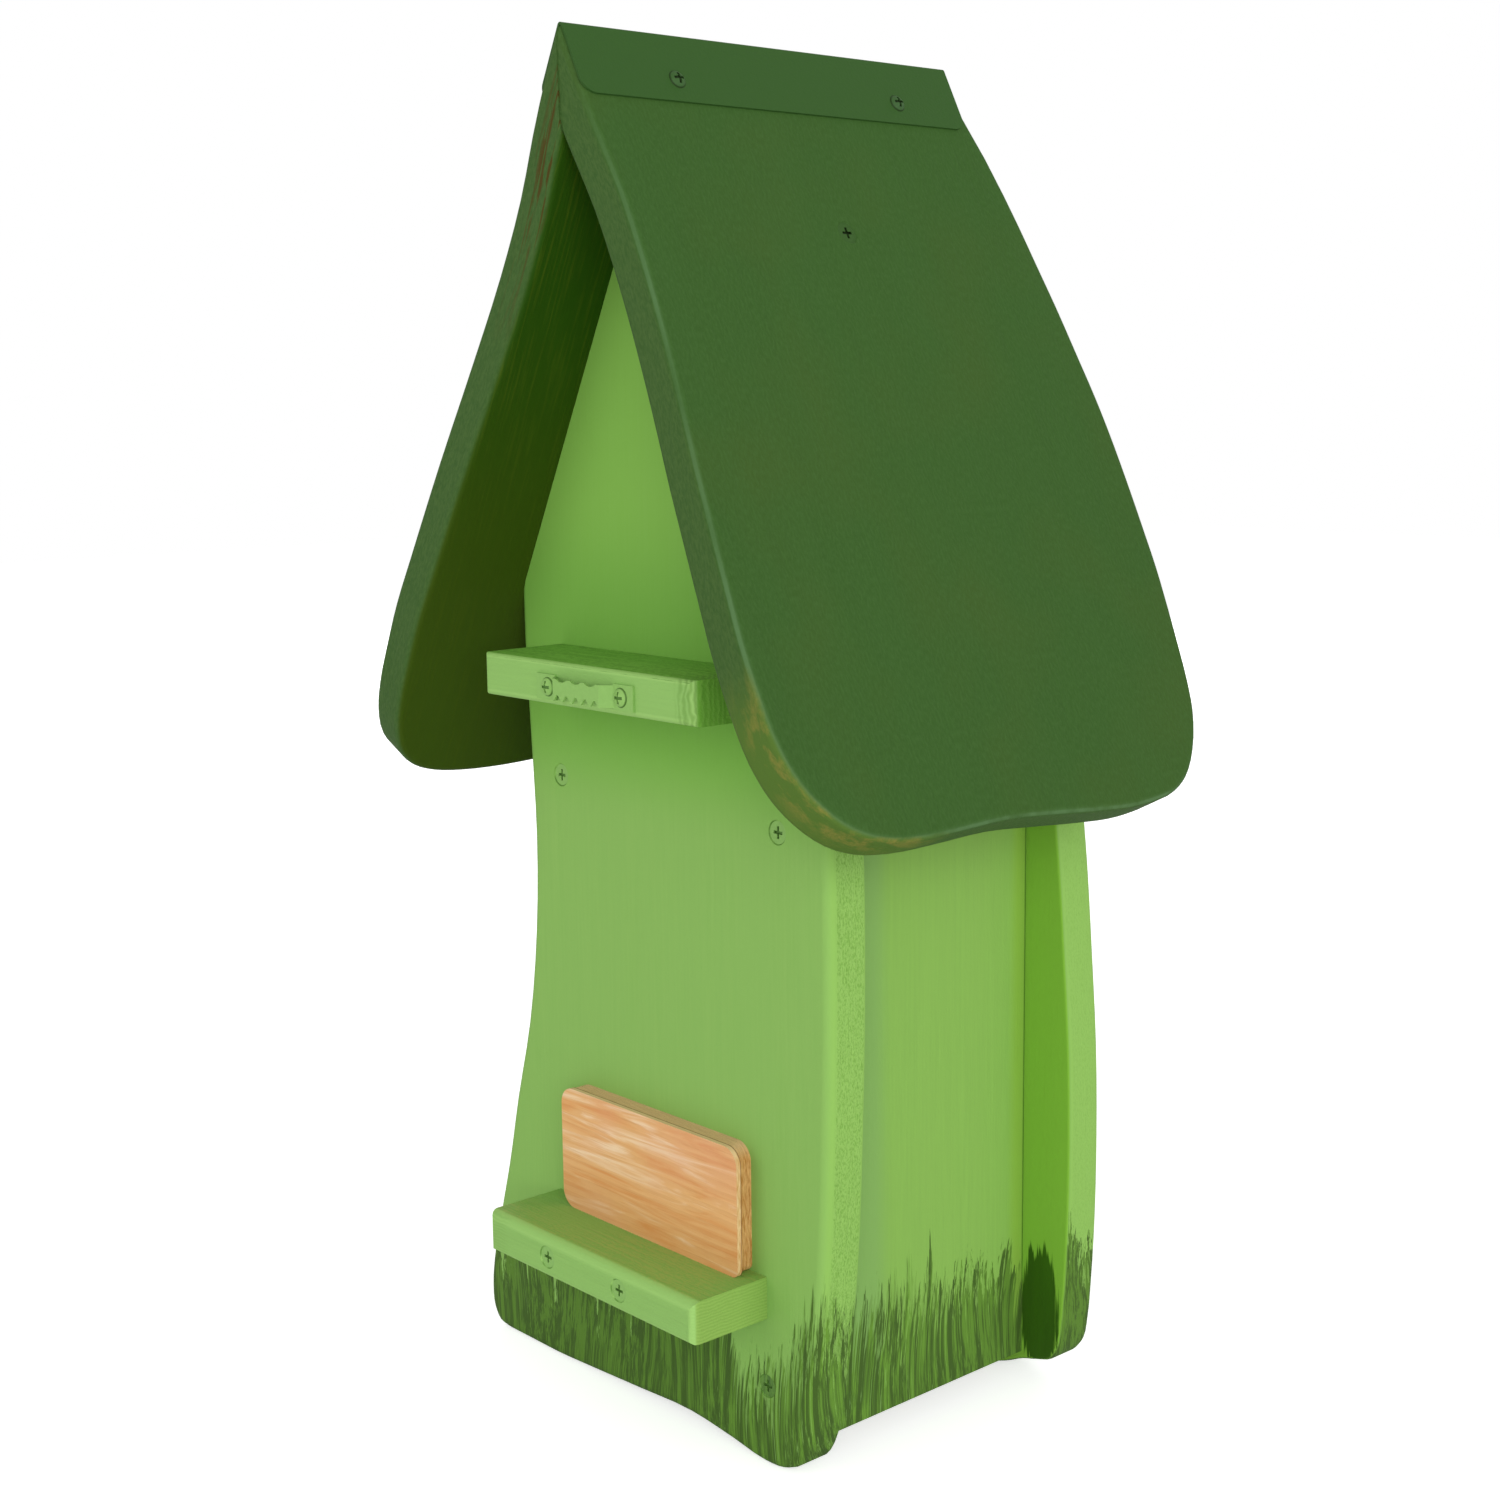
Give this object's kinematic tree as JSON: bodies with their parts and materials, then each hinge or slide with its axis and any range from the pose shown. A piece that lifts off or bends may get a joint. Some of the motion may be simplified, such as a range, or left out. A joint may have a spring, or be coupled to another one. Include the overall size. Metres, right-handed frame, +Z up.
{
  "type": "bird nest box",
  "caption": "Tall wooden nest box for small birds with wavy-edged boards, a steep gabled roof, a round entrance, rear battens and a toothed hanger, so it stands or hangs",
  "frame": {"origin": "middle of the overall box in X and Y, on the ground under the feet", "axes": "+Z up; the entrance faces -Y; the battens, hanger and plaque face +Y; the ridge runs along Y; left is -X for a person who looks at the entrance"},
  "size_m": [0.2388, 0.192, 0.4493],
  "materials": {
    "wall_paint": "softwood with thin matte light green paint",
    "roof_paint": "softwood with matte dark green paint, worn at arrises",
    "bare_wood": "planed softwood, unpainted",
    "cap_paint": "folded sheet, painted matte dark green",
    "roof_screw_paint": "steel, painted over in dark green",
    "wall_screw_paint": "steel, painted over in light green",
    "batten_paint": "softwood with matte light green paint",
    "hanger_paint": "steel, painted over in light green",
    "plaque_wood": "thin softwood, oiled, bare"
  },
  "bodies": {
    "root": {"back_board": "wall_paint", "front_board": "wall_paint", "side_wall_left": "wall_paint", "side_wall_right": "wall_paint", "floor_board": "bare_wood", "ridge_block": "bare_wood", "roof_panel_left": "roof_paint", "roof_panel_right": "roof_paint", "ridge_cap": "cap_paint", "ridge_cap_screws": "roof_screw_paint", "roof_screws": "roof_screw_paint", "back_board_screws": "wall_screw_paint", "front_board_screws": "wall_screw_paint", "upper_batten": "batten_paint", "lower_batten": "batten_paint", "lower_batten_screws": "wall_screw_paint", "hanger_plate": "hanger_paint", "hanger_screws": "hanger_paint", "plaque_base": "plaque_wood", "plaque_face": "plaque_wood"}
  },
  "joints": []
}
